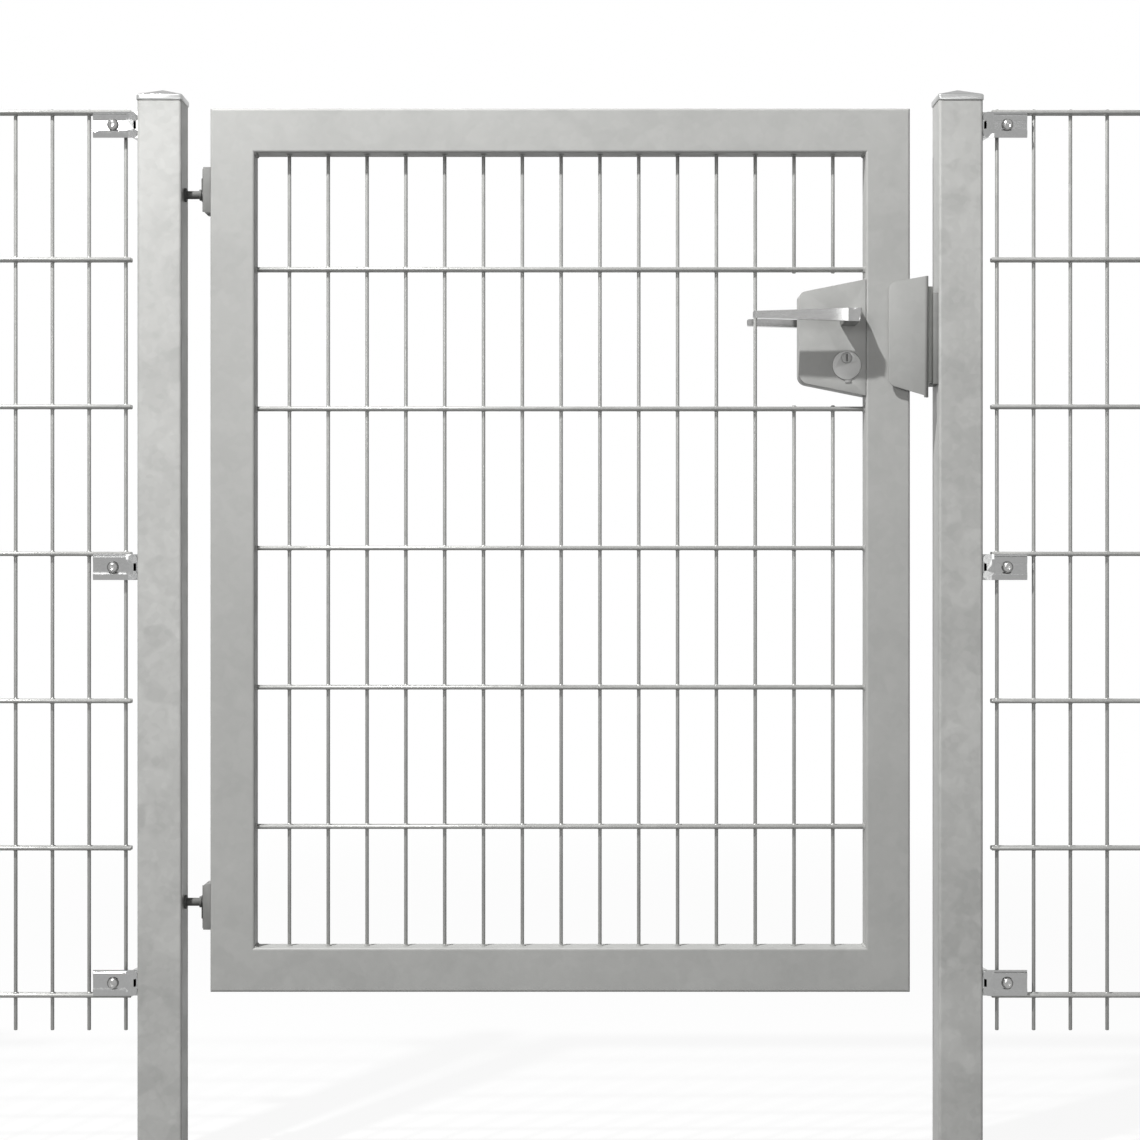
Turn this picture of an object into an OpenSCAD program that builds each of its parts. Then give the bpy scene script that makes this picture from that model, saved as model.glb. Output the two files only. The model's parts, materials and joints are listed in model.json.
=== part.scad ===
// Swing gate of galvanised steel between two square posts, with one cut bay of
// double-rod mesh fencing on each side. The gateway runs along X, the gate opens
// away from the viewer along +Y, and Z is up. The origin is the middle of the
// hinge post's foot.

/* [Posts] */
// How far the posts stand above the top of the leaf
post_above_leaf = 10; // [0:1:60]
// Outer width of a square post
post_w = 60; // [50:5:90]
// Wall of a post
post_wall = 3; // [2:0.5:5]
// Corner radius of a post
post_r = 3.5; // [2:0.5:6]
// Clear opening between the two gate posts
opening_w = 1025; // [900:5:1300]
// Height of the rim of a post cap
cap_rim_h = 8; // [5:1:14]
// How far a post cap stands proud of the post
cap_lip = 1.5; // [1:0.5:4]
// Width of the bevel round the top of a cap's rim
cap_edge = 1.5; // [0.5:0.5:3]
// Height of the cap's pyramid above its rim
cap_peak_h = 10; // [4:1:30]
// Length of the plug that holds a cap in its post
cap_plug_h = 14; // [8:1:30]

/* [Leaf] */
// Height of the gate leaf
leaf_h = 1200; // [1000:10:1900]
// Height of the leaf's lower edge above the ground
ground_gap = 240; // [40:10:300]
// Gap between the leaf and each gate post
side_gap = 37.5; // [30:0.5:50]
// Face width of the leaf's tubes
tube_face = 60; // [50:5:80]
// Depth of the leaf's tubes
tube_depth = 40; // [36:1:50]
// Wall of the leaf's tubes
tube_wall = 2.5; // [2:0.5:4]
// Corner radius of the leaf's tubes
tube_r = 3; // [1:0.5:5]

/* [Mesh] */
// Thickness of the upright wires
wire_d = 5; // [4:0.5:8]
// Thickness of the cross rods, which lie in pairs before and behind the wires
rod_d = 6; // [5:0.5:8]
// Spacing of the leaf's upright wires
infill_pitch = 53; // [40:1:60]
// Spacing of the leaf's rows of rods
infill_row_pitch = 190; // [170:5:210]
// Height of the leaf's lowest row of rods above the leaf's lower edge
infill_first_row = 223; // [200:1:240]
// How far the wires sit to the right of the leaf's middle
infill_shift = 1.3; // [-2:0.1:2]
// Smallest space between an outer wire and the leaf's tube
infill_edge = 40; // [30:1:45]
// How far the cut wires stand past the rods beside the lock
wire_stub = 5; // [4:0.5:10]
// Number of meshes in a fence bay
bay_meshes = 10; // [6:1:48]
// Spacing of the fence's upright wires
mat_pitch = 50; // [40:5:60]
// Spacing of the fence's rows of rods
mat_row_pitch = 200; // [180:5:210]
// Depth of the fence's top row below the top of the posts
mat_top_drop = 15; // [12:1:60]
// Smallest height of the fence's lowest row above the ground
mat_ground_gap = 160; // [80:10:300]
// Length of the fence's wires below the bottom row
mat_tail = 48; // [20:1:60]
// Space between a post and the nearest wire
mat_post_gap = 20; // [19:1:25]
// How far the mats sit to the right of the middle between their posts
mat_shift = 1.7; // [-2:0.1:2]
// How far the rods run past the outer wire
mat_rod_end = 8; // [6:0.5:9]
// Distance of the fence's plane in front of the middle of the posts
mat_forward = 12; // [8:0.5:14]

/* [Fence clamps] */
// Length of a clamp
clamp_len = 61; // [50:1:65]
// Height of a clamp
clamp_h = 35; // [32:1:44]
// Thickness of a clamp's plates
clamp_t = 4; // [3:0.5:5]
// Distance of a clamp's ribs from the post
clamp_rib_start = 16; // [12:0.5:20]
// How far a clamp's ribs stand proud of its plate
clamp_rib_rise = 1.5; // [0.5:0.5:2]
// Height of a clamp's lower rib
clamp_lower_rib_h = 9.5; // [8:0.5:12]
// Height of the channel between a clamp's ribs
clamp_channel_h = 13.5; // [10:0.5:15]
// Height of a clamp's upper rib
clamp_upper_rib_h = 8; // [5:0.5:10]
// Height of the notch between a clamp's two lobes
clamp_notch_h = 10; // [8:0.5:11]
// Distance from the post to the bottom of that notch
clamp_notch_x = 6; // [5:0.5:7]
// Width of a clamp's foot where it meets the front plate
clamp_arm = 8; // [7:0.5:10]
// Thickness of a clamp's foot on the post
clamp_foot_t = 3; // [2:0.5:4]
// How far a clamp's foot reaches behind the middle of the fence
clamp_reach = 26; // [16:1:34]
// Distance of a clamp's back plate from the post
clamp_back_start = 13; // [11:0.5:20]
// How far a clamp's back plate reaches away from its row of rods
clamp_back_free = 13; // [10:0.5:16]
// Distance of the clamp bolt from the post
clamp_bolt_x = 34; // [30:1:44]
// Diameter of the clamp bolt
clamp_bolt_d = 8; // [6:0.5:8.5]
// Diameter of the clamp bolt's round head
clamp_head_d = 15.5; // [14:0.5:20]
// Distance between a clamp's middle and its row of rods
clamp_row_gap = 18; // [16:0.5:24]

/* [Hinges] */
// Depth of the upper hinge rod below the leaf's top edge
upper_hinge_drop = 115; // [80:5:300]
// Height of the lower hinge rod above the leaf's lower edge
lower_hinge_z = 120; // [100:5:200]
// Diameter of the hinge rods
hinge_rod_d = 11; // [10:0.5:12]
// Distance of the hinge axis from the leaf's edge
hinge_off = 8.2; // [8:0.1:9]
// Diameter of the barrel on a hinge rod
barrel_d = 13.2; // [12:0.2:14]
// Height of the barrel
barrel_h = 31; // [26:1:36]
// How far the barrel reaches past the rod's middle on its short side
barrel_short = 8.7; // [8:0.1:12]
// Diameter of the hinge pin
hinge_pin_d = 7; // [6:0.5:8]
// Height of a hinge housing
housing_h = 62; // [56:1:70]
// How far a hinge housing stands proud of the leaf's edge
housing_proud = 10; // [9:0.5:10.5]
// Depth of a hinge housing
housing_depth = 36; // [30:1:36]
// Thickness of the housing's front wall
housing_front = 10.8; // [8:0.1:10.8]
// Height of the housing past the barrel's short end
housing_short = 17.8; // [12:0.2:20]
// Diameter of the flanged bush in the post
bush_d = 19; // [18:0.5:24]
// Thickness of the bush's flange
bush_t = 3; // [2:0.5:5]

/* [Lock] */
// Width of the lock case
case_w = 90; // [80:1:100]
// Height of the lock case at its free side
case_free_h = 122; // [110:1:130]
// Height of the lock case at the stile
case_stile_h = 158; // [140:1:170]
// Radius of the lock case's upper corner
case_r = 9; // [4:0.5:14]
// Radius of the lock case's lower corner
case_low_r = 13; // [4:0.5:18]
// Wall of the lock case
case_wall = 3; // [2:0.5:4]
// How far the lock case sits above the middle between its two rows of rods
case_up = 1; // [-4:0.5:4]
// Distance of the spindle from the stile's inner edge
backset = 26; // [24:0.5:32]
// Height of the spindle above the middle of the lock case
spindle_up = 27; // [25:0.5:32]
// Distance from the spindle down to the key's axis
spindle_to_key = 55; // [50:0.5:60]
// Side of the square spindle
spindle_w = 8; // [7:0.5:9]
// Length of a lever from the spindle's axis to its tip
lever_len = 130; // [110:1:150]
// Length of a lever past the spindle's axis
lever_heel = 16; // [12:0.5:18]
// Height of a lever at the neck
lever_neck_h = 18.2; // [15:0.2:22]
// Height of a lever at its tip
lever_tip_h = 9; // [7:0.2:12]
// Thickness of a lever
lever_t = 12; // [9:0.5:14]
// Space for the fingers behind a lever
lever_gap = 30; // [26:1:45]
// How far a lever's neck reaches to the left of the spindle's axis, at the lock case
neck_left = 9.5; // [8.5:0.5:11]
// Height of a lever's neck where it meets the lock case
neck_h = 24; // [20:0.5:28]
// How far a lever's neck widens past the lever's end
neck_flare = 6; // [3:0.5:8]
// Diameter of a key rosette
rosette_d = 39.5; // [37:0.5:44]
// Thickness of a key rosette
rosette_t = 1.5; // [1.5:0.5:8]
// Width of the bevel round a key rosette
rosette_edge = 0.5; // [0.5:0.5:1]
// Diameter of the key cylinder's plug
plug_d = 14; // [12:0.5:16]
// Width of the lock's face plate
faceplate_w = 24; // [20:1:30]
// Height of the lock's face plate
faceplate_h = 144; // [136:1:180]
// Thickness of the lock's face plate
faceplate_t = 3; // [2:0.5:4]
// Width of the mouths for the latch and the bolt in the face plate
mouth_w = 12; // [8:0.5:16]
// Height of the latch's mouth
latch_mouth_h = 34; // [24:1:40]
// Height of the bolt's mouth
bolt_mouth_h = 30; // [20:1:34]

/* [Keeper] */
// Thickness of the keeper's base plate
keeper_base_t = 6.5; // [4:0.5:8]
// Height of the keeper's base plate
keeper_base_h = 124; // [110:1:128]
// Depth of the keeper's base plate
keeper_base_depth = 54; // [40:1:56]
// How far the keeper's base plate sits below the middle of the lock case
keeper_drop = 2; // [0:0.5:6]
// Height of the keeper's body
keeper_body_h = 130; // [126:1:140]
// How far the keeper's body sits above the middle of its base plate
keeper_body_up = 6; // [0:0.5:8]
// Depth of the keeper's body
keeper_body_depth = 42; // [36:1:46]
// Width of the keeper's body
keeper_body_w = 9.5; // [9:0.5:14]
// Depth of the latch pocket in the keeper's body
pocket_depth = 8; // [6:0.5:8]
// Width of the latch pocket across the gate's depth
pocket_w = 26; // [20:1:30]
// Height of the latch pocket
pocket_h = 96; // [80:1:110]
// Height of the stop hood at its free edge
hood_free_h = 138; // [120:1:150]
// How much the hood's top edge rises towards the post
hood_top_rise = 10; // [0:1:20]
// How much the hood's lower edge falls towards the post
hood_foot_fall = 14; // [0:1:25]
// How far the hood's bent edge reaches below its face
hood_heel = 3; // [0:0.5:6]
// How far the stop hood overlaps the leaf
hood_overlap = 30; // [20:1:36]
// Thickness of the stop hood
hood_t = 3; // [2.5:0.5:4]
// Space between the closed leaf and the stop hood
hood_gap = 6; // [6:0.5:12]
// Corner radius of the stop hood
hood_r = 12; // [4:0.5:14]

/* [Hidden] */

// Round faces are true circles, so this number only sets the preview
$fn = 48;
// A length that takes a cutting shape safely past a face
past = 1;
// Clearance of a piece that sits in another without moving
seat = 0.1;
// Clearance of a pin or shaft that turns
running = 0.1;

galvanised = [0.68, 0.69, 0.69];
dull_zinc = [0.56, 0.57, 0.58];
stainless = [0.78, 0.78, 0.77];
dark_steel = [0.40, 0.41, 0.42];

// Where the posts stand, and how high
post_h = ground_gap + leaf_h + post_above_leaf;
lock_post_x = opening_w + post_w;
bay_w = bay_meshes * mat_pitch + 2 * mat_post_gap;
left_end_x = -(bay_w + post_w);
right_end_x = lock_post_x + bay_w + post_w;
foot_t = post_wall;

// The leaf's place and its clear inside
leaf_w = opening_w - 2 * side_gap;
leaf_x = post_w / 2 + side_gap;
leaf_front = -tube_depth / 2;
inside_w = leaf_w - 2 * tube_face;
inside_top = leaf_h - tube_face;

// Rows and wires of the leaf's mesh, in the leaf's own X and Z
infill_meshes = floor((inside_w - 2 * infill_edge) / infill_pitch);
infill_middle = leaf_w / 2 + infill_shift;
infill_wire_x = [for (i = [0:infill_meshes]) infill_middle + (i - infill_meshes / 2) * infill_pitch];
infill_rows = floor((inside_top - infill_first_row - infill_edge) / infill_row_pitch) + 1;
infill_row_z = [for (i = [0:infill_rows - 1]) infill_first_row + i * infill_row_pitch];

// The lock sits between the two rows nearest the hand
lock_row = infill_rows - 2;
lock_z = infill_row_z[lock_row] + infill_row_pitch / 2 + case_up;
case_x = leaf_w - tube_face - case_w;
case_right = leaf_w - tube_face;
spindle_x = case_right - backset;
spindle_z = lock_z + spindle_up;
key_z = spindle_z - spindle_to_key;

// Profile of the key cylinder, a round part with a leg below it
cylinder_r = 8.5;
cylinder_leg_w = 10;
cylinder_h = 33;
rosette_drop = 10;
rosette_z = key_z - rosette_drop;
rosette_tab_w = 8;
rosette_tab_h = 4;
rosette_tab_x = 2;
key_slot = [2, 10, 9];
cylinder_proud = 1;
leg_sink = 0.5;

// Bars are drawn with eight sides and meet flat on flat
bar_sides = 8;
flat_part = cos(180 / bar_sides);
weld_sink = 0.15;
rod_off = (wire_d + rod_d) / 2 * flat_part - weld_sink;
mat_top_z = post_h - mat_top_drop;
mat_rows = floor((mat_top_z - mat_ground_gap) / mat_row_pitch) + 1;
mat_bottom_z = mat_top_z - (mat_rows - 1) * mat_row_pitch;
mat_middle_z = mat_top_z - floor(mat_rows / 2) * mat_row_pitch;
mat_half = rod_off + rod_d / 2 * flat_part;

// A clamp's plates lie before and behind the rods. Each entry is the clamp's height
// and the side on which its row of rods lies.
clamp_fit = 0.6;
clamp_inner = mat_half + clamp_fit;
clamp_outer = clamp_inner + clamp_t;
clamp_places = [
  [mat_top_z - clamp_row_gap, 1],
  [mat_middle_z - clamp_row_gap, 1],
  [mat_bottom_z + clamp_row_gap, -1]
];
lobe_x = 1;
lobe_r = 7;
lobe_inner_r = 5;
rib_slope = 1.5;
back_r = 3;
head_rise = 5;
nut_w = 13;
nut_t = 6.5;
thread_end = 2;

// The hinge axis and what turns on it
hinge_x = leaf_x - hinge_off;
upper_hinge_z = leaf_h - upper_hinge_drop;
collar_d = 15.2;
collar_near = 5.9;
collar_far = 8.9;
rod_inside = 18;
knuckle_d = 10.6;
window_play = 0.3;
housing_corner = 4;
bush_sleeve_d = 14;
bush_inside = 6;

// The keeper on the lock post
lock_post_face = lock_post_x - post_w / 2;
keeper_z = ground_gap + lock_z - keeper_drop;
body_z = keeper_z + keeper_body_up;
body_right = lock_post_face - keeper_base_t;
body_left = body_right - keeper_body_w;
hood_back = leaf_front - hood_gap;
hood_left = leaf_x + leaf_w - hood_overlap;
hood_right = body_left + hood_t;
hood_bend_r = 6.5;

// Points on the rounded corner at p, between its neighbours a and b
function corner(a, p, b, r, steps) =
  let (
    u = (a - p) / norm(a - p),
    v = (b - p) / norm(b - p),
    half = acos(max(-1, min(1, u * v))) / 2,
    mid = p + (u + v) / norm(u + v) * r / sin(half),
    s = p + u * r / tan(half) - mid,
    e = p + v * r / tan(half) - mid,
    a0 = atan2(s[1], s[0]),
    turn = atan2(e[1], e[0]) - a0,
    sweep = turn > 180 ? turn - 360 : turn < -180 ? turn + 360 : turn
  )
  [for (k = [0:steps]) mid + r * [cos(a0 + sweep * k / steps), sin(a0 + sweep * k / steps)]];

// A closed outline from points [x, y, corner radius]
function outline(pts, steps = 5) =
  let (n = len(pts), flat = [for (p = pts) [p[0], p[1]]])
  [for (i = [0:n - 1]) each (pts[i][2] > 0
    ? corner(flat[(i + n - 1) % n], flat[i], flat[(i + 1) % n], pts[i][2], steps)
    : [flat[i]])];

// A square outline with four round corners
function square_outline(w, r) =
  outline([[-w / 2, -w / 2, r], [w / 2, -w / 2, r], [w / 2, w / 2, r], [-w / 2, w / 2, r]], 3);

// Extrudes an outline drawn in X and Z from y0 to y1
module slab_y(y0, y1) {
  translate([0, y1, 0]) rotate([90, 0, 0]) linear_extrude(y1 - y0) children();
}

// Extrudes an outline drawn in Y and Z from x0 to x1
module slab_x(x0, x1) {
  translate([x0, 0, 0]) rotate([90, 0, 90]) linear_extrude(x1 - x0) children();
}

// An upright bar of few sides
module upright(x, y, z0, z1, d) {
  translate([x, y, z0]) rotate([0, 0, 180 / bar_sides]) cylinder(d = d, h = z1 - z0, $fn = bar_sides);
}

// A level bar of few sides along X
module level(x0, x1, y, z, d) {
  translate([x0, y, z]) rotate([0, 90, 0]) rotate([0, 0, 180 / bar_sides])
    cylinder(d = d, h = x1 - x0, $fn = bar_sides);
}

// Puts a piece drawn in the leaf's own X and Z into the gateway
module on_leaf() {
  translate([leaf_x, 0, ground_gap]) children();
}

// A square post with a closed foot, standing at x
module post(x) {
  inner_r = max(post_r - post_wall, 0.5);
  translate([x, 0, 0]) difference() {
    linear_extrude(post_h) polygon(square_outline(post_w, post_r));
    translate([0, 0, foot_t]) linear_extrude(post_h)
      polygon(square_outline(post_w - 2 * post_wall, inner_r));
  }
}

module hinge_post() {
  color(galvanised) difference() {
    post(0);
    for (z = [upper_hinge_z, lower_hinge_z])
      translate([post_w / 2 - post_wall - past, 0, ground_gap + z]) rotate([0, 90, 0])
        cylinder(d = bush_sleeve_d + 2 * seat, h = post_wall + 2 * past);
  }
}

module lock_post() { color(galvanised) post(lock_post_x); }
module left_end_post() { color(galvanised) post(left_end_x); }
module right_end_post() { color(galvanised) post(right_end_x); }

// A push-in cap with a low pyramid, on the post at x
module post_cap(x) {
  rim_w = post_w + 2 * cap_lip;
  rim = square_outline(rim_w, post_r + cap_lip);
  top_w = rim_w - 2 * cap_edge;
  peak_w = 2;
  plug_w = post_w - 2 * post_wall - 2 * seat;
  plug_wall = 2.5;
  color(dull_zinc) translate([x, 0, post_h]) {
    linear_extrude(cap_rim_h - cap_edge) polygon(rim);
    translate([0, 0, cap_rim_h - cap_edge]) linear_extrude(cap_edge, scale = top_w / rim_w) polygon(rim);
    translate([0, 0, cap_rim_h]) scale([top_w / rim_w, top_w / rim_w, 1])
      linear_extrude(cap_peak_h, scale = peak_w / top_w) polygon(rim);
    translate([0, 0, -cap_plug_h]) difference() {
      linear_extrude(cap_plug_h) square(plug_w, center = true);
      translate([0, 0, -past]) linear_extrude(cap_plug_h) square(plug_w - 2 * plug_wall, center = true);
    }
  }
}

module hinge_post_cap() { post_cap(0); }
module lock_post_cap() { post_cap(lock_post_x); }
module left_end_post_cap() { post_cap(left_end_x); }
module right_end_post_cap() { post_cap(right_end_x); }

// One fence mat, its middle at x
module mat(x) {
  half = bay_meshes / 2 * mat_pitch;
  color(galvanised) union() {
    for (i = [0:bay_meshes])
      upright(x - half + i * mat_pitch, -mat_forward, mat_bottom_z - mat_tail,
              mat_top_z + rod_d / 2 * flat_part, wire_d);
    for (row = [0:mat_rows - 1], side = [-1, 1])
      level(x - half - mat_rod_end, x + half + mat_rod_end, -mat_forward + side * rod_off,
            mat_bottom_z + row * mat_row_pitch, rod_d);
  }
}

module left_mat() { mat(-(post_w + bay_w) / 2 + mat_shift); }
module right_mat() { mat(lock_post_x + (post_w + bay_w) / 2 + mat_shift); }

// Draws something made for the face at x = 0 on a post's side: dir is 1 or -1
module on_post_side(face_x, dir, z) {
  translate([face_x, -mat_forward, z]) mirror([dir < 0 ? 1 : 0, 0, 0]) children();
}

// Cross-section of a clamp's ribbed front plate, in Y and Z
module ribbed_section() {
  half = clamp_h / 2;
  plate = clamp_outer - clamp_rib_rise;
  channel_low = clamp_lower_rib_h - half;
  channel_high = channel_low + clamp_channel_h;
  upper_end = channel_high + clamp_upper_rib_h;
  polygon([
    [-clamp_inner, -half], [-clamp_outer, -half], [-clamp_outer, channel_low],
    [-plate, channel_low + rib_slope], [-plate, channel_high], [-clamp_outer, channel_high],
    [-clamp_outer, upper_end], [-plate, upper_end + rib_slope], [-plate, half], [-clamp_inner, half]
  ]);
}

// Outline of the two lobes with which a clamp's front plate ends beside the post
module lobes() {
  half = clamp_h / 2;
  notch = clamp_notch_h / 2;
  polygon(outline([
    [clamp_rib_start, -half, 0], [clamp_rib_start, half, 0],
    [lobe_x, half, lobe_r], [lobe_x, notch, lobe_inner_r], [clamp_notch_x, notch, 0],
    [clamp_notch_x, -notch, 0], [lobe_x, -notch, lobe_inner_r], [lobe_x, -half, lobe_r]
  ]));
}

// The clamp's foot: a wedge along the post's side, with a pocket behind the notch
module clamp_foot() {
  difference() {
    translate([0, 0, -clamp_h / 2]) linear_extrude(clamp_h) polygon([
      [0, -clamp_inner], [clamp_arm, -clamp_inner], [clamp_foot_t, clamp_reach], [0, clamp_reach]
    ]);
    translate([0, 0, -clamp_notch_h / 2]) linear_extrude(clamp_notch_h) polygon([
      [clamp_foot_t, -clamp_inner - past], [clamp_notch_x, -clamp_inner - past],
      [clamp_notch_x, -clamp_inner], [clamp_foot_t, clamp_reach / 2]
    ]);
  }
}

// One clamp: a ribbed front plate on a foot, and a loose back plate that its bolt draws
// up behind the rods. row_side is 1 where the rods pass above the clamp's middle.
module clamp(row_side) {
  hole_d = clamp_bolt_d + 2 * seat;
  half = clamp_h / 2;
  difference() {
    union() {
      slab_y(-clamp_outer, -clamp_inner) lobes();
      slab_x(clamp_rib_start, clamp_len) ribbed_section();
      clamp_foot();
    }
    slab_y(-clamp_outer - past, -clamp_inner + past) translate([clamp_bolt_x, 0]) circle(d = hole_d);
  }
  mirror([0, 0, row_side < 0 ? 1 : 0]) slab_y(clamp_inner, clamp_outer) difference() {
    polygon(outline([
      [clamp_back_start, -clamp_back_free, back_r], [clamp_len, -clamp_back_free, back_r],
      [clamp_len, half, back_r], [clamp_back_start, half, back_r]
    ]));
    translate([clamp_bolt_x, 0]) circle(d = hole_d);
  }
}

module clamps(face_x, dir) {
  color(dull_zinc) for (place = clamp_places) on_post_side(face_x, dir, place[0]) clamp(place[1]);
}

module hinge_post_clamps() { clamps(-post_w / 2, -1); }
module lock_post_clamps() { clamps(lock_post_x + post_w / 2, 1); }
module left_end_post_clamps() { clamps(left_end_x + post_w / 2, 1); }
module right_end_post_clamps() { clamps(right_end_x - post_w / 2, -1); }

// The bolt through a clamp's slots: domed head in front, nut behind
module clamp_bolt() {
  dome_r = (clamp_head_d * clamp_head_d / 4 + head_rise * head_rise) / (2 * head_rise);
  translate([clamp_bolt_x, 0, 0]) rotate([90, 0, 0]) {
    translate([0, 0, -clamp_outer - nut_t - thread_end])
      cylinder(d = clamp_bolt_d, h = 2 * clamp_outer + nut_t + thread_end);
    translate([0, 0, -clamp_outer - nut_t]) cylinder(d = nut_w / cos(30), h = nut_t, $fn = 6);
    intersection() {
      translate([0, 0, clamp_outer]) cylinder(d = clamp_head_d, h = head_rise);
      translate([0, 0, clamp_outer + head_rise - dome_r]) sphere(r = dome_r);
    }
  }
}

module clamp_bolts(face_x, dir) {
  color(stainless) for (place = clamp_places) on_post_side(face_x, dir, place[0]) clamp_bolt();
}

module hinge_post_clamp_bolts() { clamp_bolts(-post_w / 2, -1); }
module lock_post_clamp_bolts() { clamp_bolts(lock_post_x + post_w / 2, 1); }
module left_end_post_clamp_bolts() { clamp_bolts(left_end_x + post_w / 2, 1); }
module right_end_post_clamp_bolts() { clamp_bolts(right_end_x - post_w / 2, -1); }

// Draws a hinge piece at its rod's height; up is 1 where the barrel stands above the rod
module at_hinge(rod_z, up) {
  translate([hinge_x, 0, ground_gap + rod_z]) mirror([0, 0, up < 0 ? 1 : 0]) children();
}

// The rod that is held by the post, with the barrel that turns on the pin
module hinge_bolt() {
  rod_len = hinge_x - post_w / 2 + post_wall + rod_inside;
  color(stainless) difference() {
    union() {
      translate([0, 0, -barrel_short]) cylinder(d = barrel_d, h = barrel_h);
      translate([-rod_len, 0, 0]) rotate([0, 90, 0]) cylinder(d = hinge_rod_d, h = rod_len);
      translate([-collar_far, 0, 0]) rotate([0, 90, 0]) cylinder(d = collar_d, h = collar_far - collar_near);
    }
    translate([0, 0, -barrel_short - past])
      cylinder(d = hinge_pin_d + 2 * running, h = barrel_h + 2 * past);
  }
}

module upper_hinge_bolt() { at_hinge(upper_hinge_z, 1) hinge_bolt(); }
module lower_hinge_bolt() { at_hinge(lower_hinge_z, -1) hinge_bolt(); }

// The flanged bush that holds a hinge rod in the post's wall
module hinge_bush() {
  sleeve = post_wall + bush_inside;
  color(dull_zinc) translate([post_w / 2 - hinge_x, 0, 0]) rotate([0, 90, 0]) difference() {
    union() {
      cylinder(d = bush_d, h = bush_t);
      translate([0, 0, -sleeve]) cylinder(d = bush_sleeve_d, h = sleeve + past);
    }
    translate([0, 0, -sleeve - past]) cylinder(d = hinge_rod_d + 2 * seat, h = sleeve + bush_t + 2 * past);
  }
}

module upper_hinge_bush() { at_hinge(upper_hinge_z, 1) hinge_bush(); }
module lower_hinge_bush() { at_hinge(lower_hinge_z, -1) hinge_bush(); }

// The block on the leaf's edge that carries the pin, with a window for the barrel
module hinge_housing() {
  low = -barrel_short - housing_short;
  right = hinge_off;
  left = hinge_off - housing_proud;
  beyond = 2 * housing_proud;
  color(galvanised) difference() {
    union() {
      slab_y(-housing_depth / 2, housing_depth / 2)
        polygon(outline([
          [right, low, 0], [right, low + housing_h, 0],
          [left, low + housing_h, 1], [left, low, housing_corner]
        ]));
      translate([0, 0, low + housing_corner]) cylinder(d = knuckle_d, h = housing_h - housing_corner);
    }
    translate([0, 0, low - past]) cylinder(d = hinge_pin_d + 2 * seat, h = housing_h + 2 * past);
    translate([left - beyond, -housing_depth / 2 + housing_front, -barrel_short - window_play])
      cube([housing_proud + beyond + past, housing_depth, barrel_h + 2 * window_play]);
  }
}

module upper_hinge_housing() { at_hinge(upper_hinge_z, 1) hinge_housing(); }
module lower_hinge_housing() { at_hinge(lower_hinge_z, -1) hinge_housing(); }

module hinge_pin() {
  color(stainless) translate([0, 0, -barrel_short - housing_short + housing_corner])
    cylinder(d = hinge_pin_d, h = housing_h - housing_corner);
}

module upper_hinge_pin() { at_hinge(upper_hinge_z, 1) hinge_pin(); }
module lower_hinge_pin() { at_hinge(lower_hinge_z, -1) hinge_pin(); }

// A mitred tube along X from 0 to run, its outer edge at z = 0
module mitred_tube(run) {
  half = tube_depth / 2;
  intersection() {
    slab_y(-half - past, half + past)
      polygon([[0, 0], [run, 0], [run - tube_face, tube_face], [tube_face, tube_face]]);
    difference() {
      slab_x(0, run) polygon(outline([
        [-half, 0, tube_r], [half, 0, tube_r], [half, tube_face, tube_r], [-half, tube_face, tube_r]
      ], 3));
      slab_x(-past, run + past) translate([-half + tube_wall, tube_wall])
        square([tube_depth - 2 * tube_wall, tube_face - 2 * tube_wall]);
    }
  }
}

module bottom_rail() { color(galvanised) on_leaf() mitred_tube(leaf_w); }

module top_rail() {
  color(galvanised) on_leaf() translate([0, 0, leaf_h]) mirror([0, 0, 1]) mitred_tube(leaf_w);
}

module hinge_stile() {
  color(galvanised) on_leaf() mirror([1, 0, 0]) rotate([0, -90, 0]) mitred_tube(leaf_h);
}

module lock_stile() {
  color(galvanised) on_leaf() translate([leaf_w, 0, 0]) rotate([0, -90, 0]) mitred_tube(leaf_h);
}

// The leaf's mesh: the wires beside the lock case stop at the rods above and below it
module leaf_infill() {
  cut_low = infill_row_z[lock_row] + wire_stub;
  cut_high = infill_row_z[lock_row + 1] - wire_stub;
  color(galvanised) on_leaf() union() {
    for (x = infill_wire_x) {
      if (x < case_x - infill_pitch / 2) {
        upright(x, 0, tube_face, inside_top, wire_d);
      } else {
        upright(x, 0, tube_face, cut_low, wire_d);
        upright(x, 0, cut_high, inside_top, wire_d);
      }
    }
    for (z = infill_row_z, side = [-1, 1])
      level(tube_face, leaf_w - tube_face, side * rod_off, z, rod_d);
  }
}

// Outline of the lock case, drawn inwards by inset
function case_outline(inset) =
  let (
    m = (case_stile_h - case_free_h) / 2 / case_w,
    drop = inset * sqrt(1 + m * m),
    hl = case_free_h / 2 + m * inset - drop,
    hr = case_stile_h / 2 - m * inset - drop,
    x0 = case_x + inset,
    x1 = case_right - inset,
    r = max(case_r - inset, 1),
    low_r = max(case_low_r - inset, 1)
  )
  outline([[x0, lock_z - hl, low_r], [x1, lock_z - hr, 0], [x1, lock_z + hr, 0], [x0, lock_z + hl, r]]);

// How a lever's face turns back over its neck, and the neck's space to the lock case
lever_turn_w = 18;
lever_turn_back = 3;
neck_play = 0.3;

// How a lever's neck narrows at its left, right and height, and how its right side leans
neck_taper = [3.5, 2, 1];
neck_lean = 10;
neck_r = 4;

// Outline of the key cylinder, drawn outwards by grow
module cylinder_outline(grow) {
  leg_r = cylinder_leg_w / 2;
  foot_z = key_z + cylinder_r - cylinder_h + leg_r;
  translate([spindle_x, key_z]) circle(r = cylinder_r + grow);
  translate([spindle_x, foot_z]) circle(r = leg_r + grow);
  translate([spindle_x - leg_r - grow, foot_z]) square([cylinder_leg_w + 2 * grow, key_z - foot_z]);
}

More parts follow.
